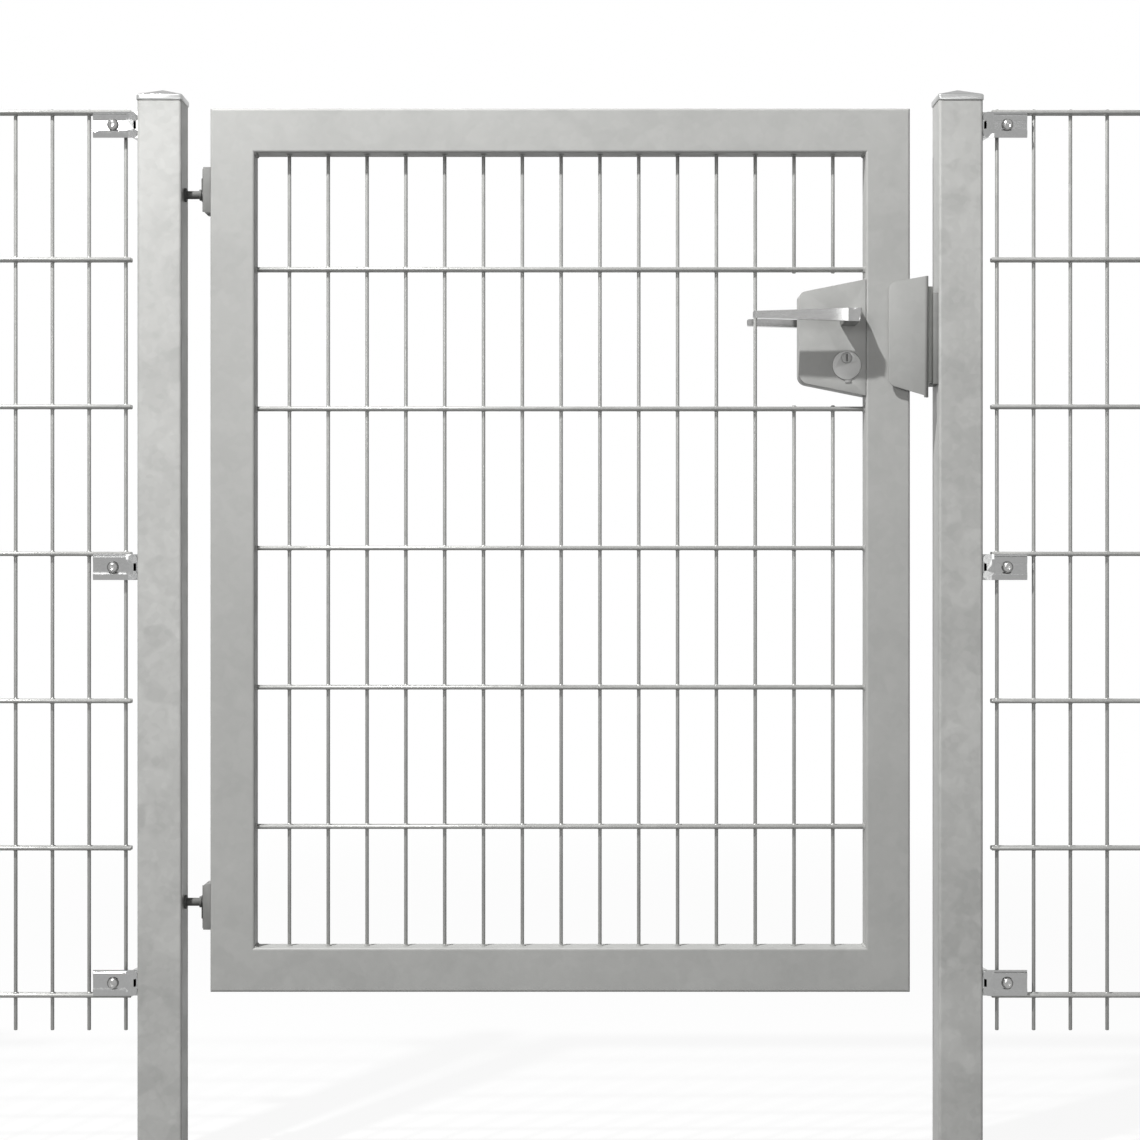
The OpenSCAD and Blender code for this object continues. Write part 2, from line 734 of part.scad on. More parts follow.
module lock_case() {
  color(galvanised) on_leaf() difference() {
    slab_y(-tube_depth / 2, tube_depth / 2) polygon(case_outline(0));
    slab_y(-tube_depth / 2 + case_wall, tube_depth / 2 - case_wall) polygon(case_outline(case_wall));
    slab_y(-tube_depth / 2 - past, tube_depth / 2 + past) cylinder_outline(seat);
    slab_y(-tube_depth / 2 - past, tube_depth / 2 + past)
      translate([spindle_x, spindle_z]) circle(d = (spindle_w + 2 * running) * sqrt(2));
  }
}

// The latch and the bolt are drawn back just behind the plate's face
module lock_faceplate() {
  drawn_back = 1;
  color(stainless) on_leaf() difference() {
    translate([leaf_w, -faceplate_w / 2, lock_z - faceplate_h / 2])
      cube([faceplate_t, faceplate_w, faceplate_h]);
    for (mouth = [[spindle_z, latch_mouth_h], [key_z, bolt_mouth_h]])
      translate([leaf_w + faceplate_t - drawn_back, -mouth_w / 2, mouth[0] - mouth[1] / 2])
        cube([drawn_back + past, mouth_w, mouth[1]]);
  }
}

// The cylinder's leg ends just behind the rosettes, and its plug comes through them
module lock_cylinder() {
  face = tube_depth / 2 + rosette_t;
  reach = face + cylinder_proud;
  covered = tube_depth / 2 - leg_sink;
  color(stainless) on_leaf() difference() {
    union() {
      slab_y(-covered, covered) cylinder_outline(0);
      slab_y(-reach, reach) translate([spindle_x, key_z]) circle(d = plug_d);
    }
    for (side = [-1, 1])
      translate([spindle_x - key_slot[0] / 2, side * reach - key_slot[2], key_z - key_slot[1] / 2])
        cube([key_slot[0], 2 * key_slot[2], key_slot[1]]);
  }
}

module rosette(side) {
  near = tube_depth / 2;
  far = near + rosette_t;
  color(dull_zinc) on_leaf() mirror([0, side < 0 ? 1 : 0, 0]) difference() {
    union() {
      slab_y(near, far - rosette_edge) {
        translate([spindle_x, rosette_z]) circle(d = rosette_d);
        translate([
          spindle_x - rosette_tab_w / 2 + rosette_tab_x, rosette_z - rosette_d / 2 - rosette_tab_h
        ]) square([rosette_tab_w, rosette_d / 2]);
      }
      translate([spindle_x, far, rosette_z]) rotate([90, 0, 0])
        cylinder(d1 = rosette_d - 2 * rosette_edge, d2 = rosette_d, h = rosette_edge);
    }
    slab_y(near - past, far + past) translate([spindle_x, key_z]) circle(d = plug_d + 2 * seat);
  }
}

module front_rosette() { rosette(-1); }
module back_rosette() { rosette(1); }

// A lever seen from the front, tapering to its tip, with a rounded end
module lever_front() {
  tip = spindle_x - lever_len;
  heel = spindle_x + lever_heel;
  lean = 4;
  polygon(outline([
    [tip, spindle_z - lever_tip_h / 2, 2], [heel - lean, spindle_z - lever_neck_h / 2, 1],
    [heel, spindle_z + lever_neck_h / 2, 1], [tip, spindle_z + lever_tip_h / 2, 2]
  ]));
}

// A lever seen from above, in X and its distance from the leaf's middle
module lever_plan() {
  tip = spindle_x - lever_len;
  heel = spindle_x + lever_heel;
  near = tube_depth / 2 + lever_gap;
  far = near + lever_t;
  polygon(outline([
    [heel, near, 2], [heel, far - lever_turn_back, 3], [heel - lever_turn_w, far, 12],
    [tip, far - 1, 5], [tip, near - 2, 2]
  ]));
}

// A lever's neck, which narrows from the lock case to the lever and leans like its end
module lever_neck(near, far) {
  right = spindle_x + lever_heel + neck_flare;
  left = spindle_x - neck_left;
  low = spindle_z - neck_h / 2;
  high = spindle_z + neck_h / 2;
  far_left = left + neck_taper[0];
  far_right = spindle_x + lever_heel - neck_taper[1];
  far_low = spindle_z - lever_neck_h / 2 + neck_taper[2];
  far_high = spindle_z + lever_neck_h / 2 - neck_taper[2];
  intersection() {
    slab_y(near, far) polygon(outline([
      [left, low, neck_r], [right - neck_lean, low, neck_r], [right, high, neck_r], [left, high, neck_r]
    ]));
    translate([0, 0, low - past]) linear_extrude(neck_h + 2 * past)
      polygon([[left, near], [right, near], [far_right, far], [far_left, far]]);
    slab_x(left - past, right + past)
      polygon([[near, low], [far, far_low], [far, far_high], [near, high]]);
  }
}

module lever(side) {
  face = tube_depth / 2;
  color(stainless) on_leaf() mirror([0, side < 0 ? 1 : 0, 0]) difference() {
    union() {
      intersection() {
        slab_y(face, face + lever_gap + lever_t + past) lever_front();
        translate([0, 0, spindle_z - lever_neck_h]) linear_extrude(2 * lever_neck_h) lever_plan();
      }
      lever_neck(face + neck_play, face + lever_gap + lever_t / 2);
    }
    slab_y(face - past, face + lever_gap)
      translate([spindle_x, spindle_z]) square(spindle_w + 2 * seat, center = true);
  }
}

module front_lever() { lever(-1); }
module back_lever() { lever(1); }

module spindle() {
  end_play = 2;
  reach = tube_depth / 2 + lever_gap - end_play;
  color(dark_steel) on_leaf()
    translate([spindle_x - spindle_w / 2, -reach, spindle_z - spindle_w / 2])
      cube([spindle_w, 2 * reach, spindle_w]);
}

module keeper_base() {
  color(dull_zinc) translate([lock_post_face - keeper_base_t, -keeper_base_depth / 2, keeper_z - keeper_base_h / 2])
    cube([keeper_base_t, keeper_base_depth, keeper_base_h]);
}

module keeper_body() {
  color(dark_steel) translate([0, 0, body_z - keeper_body_h / 2]) difference() {
    linear_extrude(keeper_body_h) polygon(outline([
      [body_left, -keeper_body_depth / 2, 1], [body_right, -keeper_body_depth / 2, 3],
      [body_right, keeper_body_depth / 2, 3], [body_left, keeper_body_depth / 2, 1]
    ]));
    translate([body_left - past, -pocket_w / 2, (keeper_body_h - pocket_h) / 2])
      cube([pocket_depth + past, pocket_w, pocket_h]);
  }
}

// The hood is one bent plate: its face overlaps the leaf and its edge turns back to the
// keeper, where it reaches a little lower than the face
module stop_hood() {
  front = hood_back - hood_t;
  bend_x = hood_right - hood_bend_r;
  free_top = body_z + hood_free_h / 2;
  free_low = body_z - hood_free_h / 2;
  post_top = free_top + hood_top_rise;
  post_low = free_low - hood_foot_fall;
  color(galvanised) intersection() {
    translate([0, 0, post_low - hood_heel - past]) linear_extrude(post_top - post_low + hood_heel + 2 * past)
      polygon(outline([
        [hood_left, hood_back, 1], [hood_left, front, 1], [hood_right, front, hood_bend_r],
        [hood_right, -keeper_body_depth / 2, 0], [hood_right - hood_t, -keeper_body_depth / 2, 0],
        [hood_right - hood_t, hood_back, hood_bend_r - hood_t]
      ]));
    slab_y(front - past, 0) polygon(outline([
      [hood_left, free_low, hood_r], [bend_x, post_low, 0], [bend_x, post_low - hood_heel, 1],
      [hood_right, post_low - hood_heel, 1], [hood_right, post_top, 1], [hood_left, free_top, hood_r]
    ]));
  }
}

hinge_post();
lock_post();
left_end_post();
right_end_post();
hinge_post_cap();
lock_post_cap();
left_end_post_cap();
right_end_post_cap();
left_mat();
right_mat();
hinge_post_clamps();
lock_post_clamps();
left_end_post_clamps();
right_end_post_clamps();
hinge_post_clamp_bolts();
lock_post_clamp_bolts();
left_end_post_clamp_bolts();
right_end_post_clamp_bolts();
upper_hinge_bolt();
lower_hinge_bolt();
upper_hinge_bush();
lower_hinge_bush();
keeper_base();
keeper_body();
stop_hood();
hinge_stile();
lock_stile();
top_rail();
bottom_rail();
leaf_infill();
upper_hinge_housing();
lower_hinge_housing();
upper_hinge_pin();
lower_hinge_pin();
lock_case();
lock_faceplate();
lock_cylinder();
front_rosette();
back_rosette();
front_lever();
back_lever();
spindle();
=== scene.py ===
# %% [markdown]
# # A swing gate of galvanised steel
#
# A gate leaf of square tube with a wire mesh hangs between two square posts. A short bay of
# double-rod fence is clamped to the outer side of each post. Nearly everything is hot-dip
# galvanised steel, so the work is in two things: crisp, slightly rounded metal edges, and a zinc
# finish that is never one flat grey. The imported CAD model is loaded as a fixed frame, and each
# piece made here takes its place from it.

# %% Load the frame
import json
import math

import bmesh
import bpy
from mathutils import Matrix, Vector


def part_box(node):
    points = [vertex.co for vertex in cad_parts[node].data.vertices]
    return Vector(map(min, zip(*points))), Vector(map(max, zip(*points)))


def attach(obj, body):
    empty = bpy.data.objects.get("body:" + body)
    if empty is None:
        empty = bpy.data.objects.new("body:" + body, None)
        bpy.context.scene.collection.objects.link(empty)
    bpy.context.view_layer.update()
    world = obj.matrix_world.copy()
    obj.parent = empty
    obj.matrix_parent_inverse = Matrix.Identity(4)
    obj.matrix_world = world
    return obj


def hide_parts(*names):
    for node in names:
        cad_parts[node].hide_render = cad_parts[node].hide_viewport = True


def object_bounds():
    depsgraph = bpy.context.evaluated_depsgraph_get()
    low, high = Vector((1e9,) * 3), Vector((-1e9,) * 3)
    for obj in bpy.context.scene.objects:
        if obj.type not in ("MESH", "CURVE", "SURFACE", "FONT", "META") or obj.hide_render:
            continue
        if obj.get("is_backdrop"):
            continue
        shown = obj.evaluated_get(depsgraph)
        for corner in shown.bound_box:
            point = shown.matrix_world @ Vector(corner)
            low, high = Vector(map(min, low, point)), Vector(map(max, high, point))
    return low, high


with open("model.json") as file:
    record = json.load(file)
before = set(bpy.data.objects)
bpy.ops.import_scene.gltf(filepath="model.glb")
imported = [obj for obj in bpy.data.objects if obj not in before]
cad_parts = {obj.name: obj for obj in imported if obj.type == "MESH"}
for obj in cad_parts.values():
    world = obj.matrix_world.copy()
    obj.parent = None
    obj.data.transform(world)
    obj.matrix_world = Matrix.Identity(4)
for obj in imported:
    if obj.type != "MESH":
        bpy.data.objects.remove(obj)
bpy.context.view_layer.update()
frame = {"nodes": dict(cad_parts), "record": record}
MM = 0.001

# %% [markdown]
# ## The camera
#
# The upright edges of the posts stay parallel and the gate's plane isn't foreshortened, so the
# camera looks straight at the gate from 3.3 m away, a little above the middle of the leaf. The
# depth seen on the inside of the leaf's tubes gives that distance, and the spacing of the fence
# wires then gives the lens.

# %% Camera
camera_data = bpy.data.cameras.new("camera")
camera_data.lens = 76.31
camera_data.sensor_width = 36
camera = bpy.data.objects.new("camera", camera_data)
camera.location = (0.5559, -3.3, 0.8131)
camera.rotation_euler = (math.radians(90), 0, 0)
bpy.context.scene.collection.objects.link(camera)
bpy.context.scene.camera = camera
bpy.context.scene.view_settings.view_transform = "Standard"
print("camera at", [round(v, 3) for v in camera.location])

# %% [markdown]
# ## Shader maths in plain Python
#
# A material is easier to read as a formula than as a list of nodes and links. This small class
# wraps one socket, so that adding or multiplying two of them adds the Math node. Colours need
# the Mix node, because a Math node turns a colour grey, and every other node comes from `node`.


# %% Socket maths
class Wire:
    """One output socket of a material's node tree, which takes part in sums."""

    def __init__(self, tree, socket):
        self.tree, self.socket = tree, socket

    def math(self, operation, other, swapped=False):
        made = self.tree.nodes.new("ShaderNodeMath")
        made.operation = operation
        for slot, value in zip(made.inputs, (other, self) if swapped else (self, other)):
            plug(self.tree, slot, value)
        return Wire(self.tree, made.outputs[0])

    def __add__(self, other):
        return self.math("ADD", other)

    def __sub__(self, other):
        return self.math("SUBTRACT", other)

    def __mul__(self, other):
        return self.math("MULTIPLY", other)

    def __rsub__(self, other):
        return self.math("SUBTRACT", other, swapped=True)

    __radd__, __rmul__ = __add__, __mul__


def plug(tree, slot, value):
    """Links a Wire to a socket, or writes a plain value into it."""
    if isinstance(value, Wire):
        tree.links.new(value.socket, slot)
    elif slot.type == "RGBA" and len(value) == 3:
        slot.default_value = (*value, 1)
    else:
        slot.default_value = value


class Finish:
    """A material, or the world, whose nodes come from one method."""

    def __init__(self, owner):
        self.owner = owner
        owner.use_nodes = True
        self.tree = owner.node_tree
        self.tree.nodes.clear()

    def node(self, kind, sockets=None, out=0, **settings):
        made = self.tree.nodes.new(kind)
        for key, value in settings.items():
            setattr(made, key, value)
        for key, value in (sockets or {}).items():
            plug(self.tree, made.inputs[key], value)
        return Wire(self.tree, made.outputs[out])

    def mix(self, factor, a, b):
        """A colour between a and b."""
        made = self.tree.nodes.new("ShaderNodeMix")
        made.data_type = "RGBA"
        for slot, value in ((0, factor), (6, a), (7, b)):
            plug(self.tree, made.inputs[slot], value)
        return Wire(self.tree, made.outputs[2])

    def end(self, shader, kind="ShaderNodeOutputMaterial"):
        plug(self.tree, self.tree.nodes.new(kind).inputs[0], shader)
        return self.owner


# The outputs of a Texture Coordinate node that are used, by number
NORMAL, OBJECT = 1, 3

# %% [markdown]
# ## The studio
#
# The photograph has no ground and a pure white background. A wide dish, turned from one profile,
# is the floor and the backdrop in one, and looks the same from every side. The camera and mirror
# rays see it glow white, with a small share of its real light, so that the posts keep a soft
# shadow. To every other ray it is a middle grey, so it doesn't flood the gate with light from
# below, and the undersides of the rails stay as dark as they are in the photograph.

# %% Studio dish
# The dish's section, as radius and height in metres, from the middle of the floor to the brim
DISH = [(0.02, 0), (2.5, 0), (5, 0), (8.5, 0), (10, 0.35), (10.8, 1.4), (11, 3), (11, 5)]
GATE_MIDDLE = 0.54


def studio_dish():
    """A floor that curves up into a round wall, spun from a few points."""
    bm = bmesh.new()
    verts = [bm.verts.new((x, 0, z)) for x, z in DISH]
    edges = [bm.edges.new(pair) for pair in zip(verts, verts[1:])]
    bmesh.ops.spin(bm, geom=verts + edges, cent=(0, 0, 0), axis=(0, 0, 1), angle=math.tau,
                   steps=64, use_merge=True)
    rim = [e for e in bm.edges if e.is_boundary and e.calc_length() < 0.01]
    bmesh.ops.holes_fill(bm, edges=rim, sides=0)
    bmesh.ops.recalc_face_normals(bm, faces=bm.faces)
    if sum(f.normal.z for f in bm.faces) < 0:
        bmesh.ops.reverse_faces(bm, faces=bm.faces)
    mesh = bpy.data.meshes.new("studio_dish")
    bm.to_mesh(mesh)
    bm.free()
    mesh.shade_smooth()
    dish = bpy.data.objects.new("studio_dish", mesh)
    dish.location = (GATE_MIDDLE, 0, 0)
    bpy.context.scene.collection.objects.link(dish)
    dish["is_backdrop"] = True
    return dish


def seen_rays(finish):
    """1 for rays that look at the background, straight or in a reflection, and 0 for the rest."""
    path = finish.tree.nodes.new("ShaderNodeLightPath").outputs
    straight, mirrored, through = [
        Wire(finish.tree, path[name])
        for name in ("Is Camera Ray", "Is Glossy Ray", "Is Transmission Ray")]
    return straight + mirrored + through


def dish_white():
    """White to the rays that see it, with a little real light near the gate, and grey to others."""
    finish = Finish(bpy.data.materials.new("studio_white"))
    grey = finish.node("ShaderNodeBsdfDiffuse", {"Color": (0.15, 0.15, 0.15)})
    matt = finish.node("ShaderNodeBsdfDiffuse", {"Color": (0.95, 0.95, 0.95)})
    glow = finish.node("ShaderNodeEmission", {"Color": (1, 1, 1), "Strength": 1.0})
    place = finish.node("ShaderNodeTexCoord", out=OBJECT)
    away = finish.node("ShaderNodeVectorMath", {0: place}, out=1, operation="LENGTH")
    share = finish.node("ShaderNodeMapRange", {0: away, 1: 2.0, 2: 4.5, 3: 0.92, 4: 1.0})
    white = finish.node("ShaderNodeMixShader", {0: share, 1: matt, 2: glow})
    return finish.end(finish.node("ShaderNodeMixShader", {0: seen_rays(finish), 1: grey, 2: white}))


dish = studio_dish()
dish.data.materials.append(dish_white())
print("dish radius", DISH[-1][0], "m")

# %% [markdown]
# ## The lamps
#
# The shadows in the photograph have sharp edges and fall steeply to the right: the lever's shadow
# lies 34 mm to the right of the lever and 65 mm below it, for 36 mm of depth. So the key is a
# small lamp to the upper left, in front of the gate. The zinc is palest at the upper left and
# darkens towards the lower right. That is the sheen of a panel to the upper left of the camera,
# and the flat channel of the upper left clamp mirrors the same panel as pure white. A weak panel
# low in front fills the lower half, a small card at the right gives the bright patch at the
# lever's end, and a panel behind lights the back. The sky gives little light, but looks white
# where a metal mirrors it.

# %% Lamps and sky
AIM = Vector((0.55, 0, 0.95))


def lamp(name, place, size, watts):
    """A square lamp at place, turned to the gate."""
    data = bpy.data.lights.new(name, "AREA")
    data.shape = "SQUARE"
    data.size = size
    data.energy = watts
    made = bpy.data.objects.new(name, data)
    made.location = place
    made.rotation_euler = (AIM - Vector(place)).to_track_quat("-Z", "Y").to_euler()
    made.visible_camera = False
    bpy.context.scene.collection.objects.link(made)


lamp("key", (-0.85, -1.85, 4.4), 0.13, 235)
lamp("sheen_panel", (-1.0, -3.3, 2.0), 1.0, 26)
lamp("low_panel", (0.6, -4.4, 0.55), 1.2, 13)
lamp("glint_card", (1.75, -3.3, 1.5), 0.42, 2.6)
lamp("back_panel", (-1.8, 3.0, 3.4), 1.6, 30)

SKY_LIGHT = 0.13
sky = Finish(bpy.data.worlds.new("studio_air"))
bpy.context.scene.world = sky.owner
strength = SKY_LIGHT + (1 - SKY_LIGHT) * seen_rays(sky)
sky.end(sky.node("ShaderNodeBackground", {"Color": (1, 1, 1), "Strength": strength}),
        "ShaderNodeOutputWorld")

# %% [markdown]
# ## Hot-dip galvanised steel
#
# Zinc freezes on the steel in flat crystals from a few millimetres to a few centimetres wide,
# called spangle. On these tubes it is faint: each crystal is a slightly different grey and shines
# a little differently. Voronoi cells are the natural pattern for crystals that grow until they
# meet. A noise bends their edges so that they aren't ruler-straight, a finer set breaks them up,
# and broad clouds make one part of a post paler than the next. The posts are more mottled than
# the tubes, and painted paler as well, which is a painted sheen. The drawn wires shine a little
# more. The hinges' rods and bushes are painted darkest and the hood a little darker than the
# tubes, as painted shade, and the housings are darker too, which on the keeper's base is painted
# shade.


# %% Galvanised finish
def galvanised(name, shade, contrast, roughness, metallic):
    """A zinc coat, given its grey, how strong its pattern is, and how it shines."""
    finish = Finish(bpy.data.materials.new(name))
    place = finish.node("ShaderNodeTexCoord", out=OBJECT)
    noise = finish.node("ShaderNodeTexNoise", {"Vector": place, "Scale": 30.0, "Detail": 2.0},
                        out=1)
    bend = finish.node("ShaderNodeVectorMath", {0: noise, 1: (0.012, 0.012, 0.012)},
                       operation="MULTIPLY")
    bent = finish.node("ShaderNodeVectorMath", {0: place, 1: bend}, operation="ADD")
    large, small = [
        finish.node("ShaderNodeSeparateColor", {0: finish.node(
            "ShaderNodeTexVoronoi", {"Vector": bent, "Scale": scale, "Smoothness": 0.35}, out=1,
            feature="SMOOTH_F1")})
        for scale in (38.0, 120.0)]
    clouds = finish.node("ShaderNodeTexNoise", {"Vector": place, "Scale": 6.0, "Detail": 4.0})
    tone = (large - 0.5) * (0.05 * contrast) + (small - 0.5) * (0.03 * contrast) \
        + (clouds - 0.5) * (0.16 * contrast)
    value = tone + shade
    colour = finish.node("ShaderNodeCombineColor", {0: value * 0.997, 1: value, 2: value * 0.972})
    grain = finish.node("ShaderNodeTexNoise", {"Vector": place, "Scale": 700.0, "Detail": 2.0})
    bump = finish.node("ShaderNodeBump", {"Height": large * 0.3 + grain * 0.5,
                                          "Strength": 0.1, "Distance": 0.0005})
    return finish.end(finish.node("ShaderNodeBsdfPrincipled", {
        "Base Color": colour, "Metallic": metallic, "Roughness": (large - 0.5) * 0.12 + roughness,
        "Specular IOR Level": 0.05, "Normal": bump}))


# Each zinc coat's grey, contrast, roughness and share of metal
ZINC = {
    "galvanised_steel": (0.445, 0.55, 0.45, 0.1),
    "zinc_fittings": (0.36, 0.5, 0.36, 0.5),
    # Paler than the tubes as a painted sheen; the stronger mottling is the zinc's own
    "post_galvanised_steel": (0.49, 1.3, 0.38, 0.14),
    "wire_galvanised_steel": (0.38, 0.6, 0.3, 0.28),
    # Darker than the tubes: painted shade on the hood
    "shaded_hood_galvanised_steel": (0.395, 0.5, 0.45, 0.1),
    # Darker than the tubes; on the keeper's base this darkness is painted shade
    "housing_galvanised_steel": (0.26, 0.5, 0.5, 0.1),
    # Dark with painted shade, for the hinges' rods and bushes
    "shaded_hinge_zinc": (0.15, 0.4, 0.55, 0.15),
}
finishes = {name: galvanised(name, *values) for name, values in ZINC.items()}
print("zinc finishes:", list(finishes))

# %% [markdown]
# ## Levers, bolts, clamps, caps and keeper
#
# The other metals have no crystals. The levers are finely brushed stainless steel, which shines
# in a streak across the brushing. The bolts and clamps are smooth enough to mirror the studio,
# the caps are satin with painted shade that darkens their tops, and the keeper is dark and dull.
# One recipe serves all: a fine noise, drawn out along one axis for a brushed surface, moves the
# colour, the roughness and the bump together.


# %% Plain metals
def satin(name, colour, metallic, roughness, grain_scale, painted_top_shade):
    """A metal with fine grain, drawn out along the axis whose scale is small.

    The last argument darkens the faces that look up, as painted shade."""
    finish = Finish(bpy.data.materials.new(name))
    place = finish.node("ShaderNodeTexCoord", out=OBJECT)
    stretched = finish.node("ShaderNodeMapping", {"Vector": place, "Scale": grain_scale})
    grain = finish.node("ShaderNodeTexNoise", {"Vector": stretched, "Scale": 1.0, "Detail": 3.0})
    blotch = finish.node("ShaderNodeTexNoise", {"Vector": place, "Scale": 45.0, "Detail": 2.0})
    tone = finish.mix(grain * 0.6 + blotch * 0.4, tuple(c * 0.86 for c in colour),
                      tuple(c * 1.12 for c in colour))
    if painted_top_shade:
        facing = finish.node("ShaderNodeTexCoord", out=NORMAL)
        up = finish.node("ShaderNodeSeparateXYZ", {0: facing}, out=2)
        top_shade_mask = finish.node("ShaderNodeMapRange", {0: up, 1: 0.6, 2: 0.95, 3: 0.0, 4: painted_top_shade})
        # Painted shade: the faces that look up are darkened towards a near-black grey
        tone = finish.mix(top_shade_mask, tone, (0.08, 0.08, 0.078))
    bump = finish.node("ShaderNodeBump", {"Height": grain, "Strength": 0.06, "Distance": 0.0004})
    return finish.end(finish.node("ShaderNodeBsdfPrincipled", {
        "Base Color": tone, "Metallic": metallic, "Roughness": (grain - 0.5) * 0.12 + roughness,
        "Normal": bump}))


# Each metal's colour, metal share, roughness, grain scale along X, Y and Z, and painted top shade
PLAIN = {
    "stainless_steel": ((0.37, 0.37, 0.366), 0.95, 0.17, (60.0, 900.0, 900.0), 0),
    # The caps' tops are darkened with painted shade
    "cap_metal": ((0.46, 0.465, 0.46), 0.8, 0.3, (600.0, 600.0, 600.0), 0.7),
    "dark_keeper": ((0.33, 0.335, 0.32), 0.2, 0.45, (800.0, 800.0, 800.0), 0),
    "clamp_zinc": ((0.35, 0.352, 0.35), 1.0, 0.14, (300.0, 300.0, 300.0), 0),
    "bolt_stainless_steel": ((0.36, 0.36, 0.355), 1.0, 0.24, (500.0, 500.0, 500.0), 0),
    "rosette_zinc": ((0.29, 0.29, 0.285), 0.7, 0.36, (500.0, 500.0, 500.0), 0),
    "cylinder_stainless_steel": ((0.25, 0.25, 0.245), 0.45, 0.36, (600.0, 600.0, 600.0), 0),
}
finishes.update({name: satin(name, *values) for name, values in PLAIN.items()})
slots = {entry["node"]: entry["material_slot"] for entry in frame["record"]["subparts"]}
for node, slot in slots.items():
    # The posts take a paler finish, whose paleness is a painted sheen
    dressed = finishes["post_galvanised_steel" if node.endswith("_post") else slot]
    for held in frame["nodes"][node].material_slots:
        held.material = dressed
print("finishes:", list(finishes), "on", len(slots), "CAD nodes")

# %% [markdown]
# ## Copies with eased edges
#
# No metal edge is knife-sharp: a line of light runs along each one. The CAD solids have the right
# forms but sharp edges and coarse round faces, so most fittings are made from a merged copy of
# their solid. Its doubled corners are joined, flat faces are dissolved into one, and every hard
# edge gets a small bevel. Shading is smooth except where faces meet at a steep angle.

# %% Piece helpers
bodies = frame["record"]["behaviour"]["bodies"]
carriers = {node: body for body, nodes in bodies.items() for node in nodes}
# Corners nearer to each other than this are one corner
JOINED = 0.002 * MM


def finished(name, bm, node, replaces=True, smooth=35, slot=None, finish=None):
    """Makes a piece of a bmesh that rides as the CAD node does and wears its slot's finish.

    Faces that meet at more than smooth degrees keep a sharp edge between them."""
    mesh = bpy.data.meshes.new(name)
    bm.to_mesh(mesh)
    bm.free()
    mesh.shade_smooth()
    mesh.set_sharp_from_angle(angle=math.radians(smooth))
    piece = bpy.data.objects.new(name, mesh)
    bpy.context.scene.collection.objects.link(piece)
    mesh.materials.append(finishes[finish or slot or slots[node]])
    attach(piece, carriers[node])
    if replaces:
        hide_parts(node)
    print(name, len(mesh.polygons), "faces")


def merged(node, reshape=None):
    """A bmesh of a CAD node's solid, with its doubles joined and its flat faces made one.

    reshape is a function that may cut and move the solid in between."""
    bm = bmesh.new()
    bm.from_mesh(frame["nodes"][node].data)
    bmesh.ops.remove_doubles(bm, verts=bm.verts, dist=JOINED)
    if reshape:
        reshape(bm)
    bmesh.ops.dissolve_limit(bm, angle_limit=math.radians(0.5), verts=bm.verts, edges=bm.edges)
    return bm


def cut(bm, place, normal):
    """Cuts every face of a bmesh along a plane."""
    bmesh.ops.bisect_plane(bm, geom=bm.verts[:] + bm.edges[:] + bm.faces[:], dist=JOINED,
                           plane_co=place, plane_no=normal)


def eased(bm, width, segments=2, steeper=28):
    """Bevels every edge whose faces meet at a steeper angle than the one given."""
    hard = [e for e in bm.edges if e.is_manifold and e.calc_face_angle() > math.radians(steeper)]
    bmesh.ops.bevel(bm, geom=hard, offset=width, offset_type="OFFSET", segments=segments,
                    profile=0.5, affect="EDGES", material=-1, clamp_overlap=True)
    return bm


def eased_copy(node, width, segments=2, steeper=28, finish=None):
    finished(node + "_eased", eased(merged(node), width, segments, steeper), node, finish=finish)


# %% [markdown]
# ## Wires and rods
#
# A double-rod mat is welded from drawn wire: each upright wire passes between two cross rods, and
# the three are pressed and melted together where they cross. The CAD wires have eight sides. Here
# each bar is a round one with its cut ends eased, and each crossing gets the small swelling that
# the weld leaves under the zinc. There are hundreds of crossings, so a swelling has 40 faces.


# %% Bars and welds
def bar(bm, start, end, radius, ease=0.8 * MM):
    """A round bar between two points, with eased ends."""
    start, end = Vector(start), Vector(end)
    turn = (end - start).to_track_quat("Z", "X").to_matrix().to_4x4()
    made = bmesh.ops.create_cone(bm, cap_ends=True, segments=14, radius1=radius, radius2=radius,
                                 depth=(end - start).length,
                                 matrix=Matrix.Translation((start + end) / 2) @ turn)
    rims = {e for v in made["verts"] for e in v.link_edges
            if any(len(f.verts) > 4 for f in e.link_faces)}
    bmesh.ops.bevel(bm, geom=list(rims), offset=ease, offset_type="OFFSET", segments=2,
                    profile=0.5, affect="EDGES", material=-1)


def swelling(bm, place, size):
    """A rounded lump of weld, given its half sizes along X, Y and Z."""
    bmesh.ops.create_uvsphere(bm, u_segments=8, v_segments=5, radius=1.0,
                              matrix=Matrix.Translation(place) @ Matrix.Diagonal((*size, 1)))


WIRE_R = 2.5 * MM
ROD_R = 3.0 * MM
# Distance of a rod's middle from the wires' plane, and of a weld's
ROD_OFF = 5.1 * MM
WELD_OFF = 2.7 * MM
WELD_SIZE = (4.4 * MM, 1.7 * MM, 4.6 * MM)


def crossings(bm, wire_xs, row_zs, y):
    for x in wire_xs:
        for z in row_zs:
            for side in (-1, 1):
                swelling(bm, (x, y + side * WELD_OFF, z), WELD_SIZE)


def rods(bm, start, end, row_zs, y):
    """A pair of rods at each height, before and behind the wires."""
    for z in row_zs:
        for side in (-1, 1):
            rod_y = y + side * ROD_OFF
            bar(bm, (start, rod_y, z), (end, rod_y, z), ROD_R)


# %% Fence mats
# Half the height of a CAD rod, which has eight sides, and the rods' ends past the last wires
CAD_ROD_HALF = 2.77 * MM
ROD_END = 8 * MM


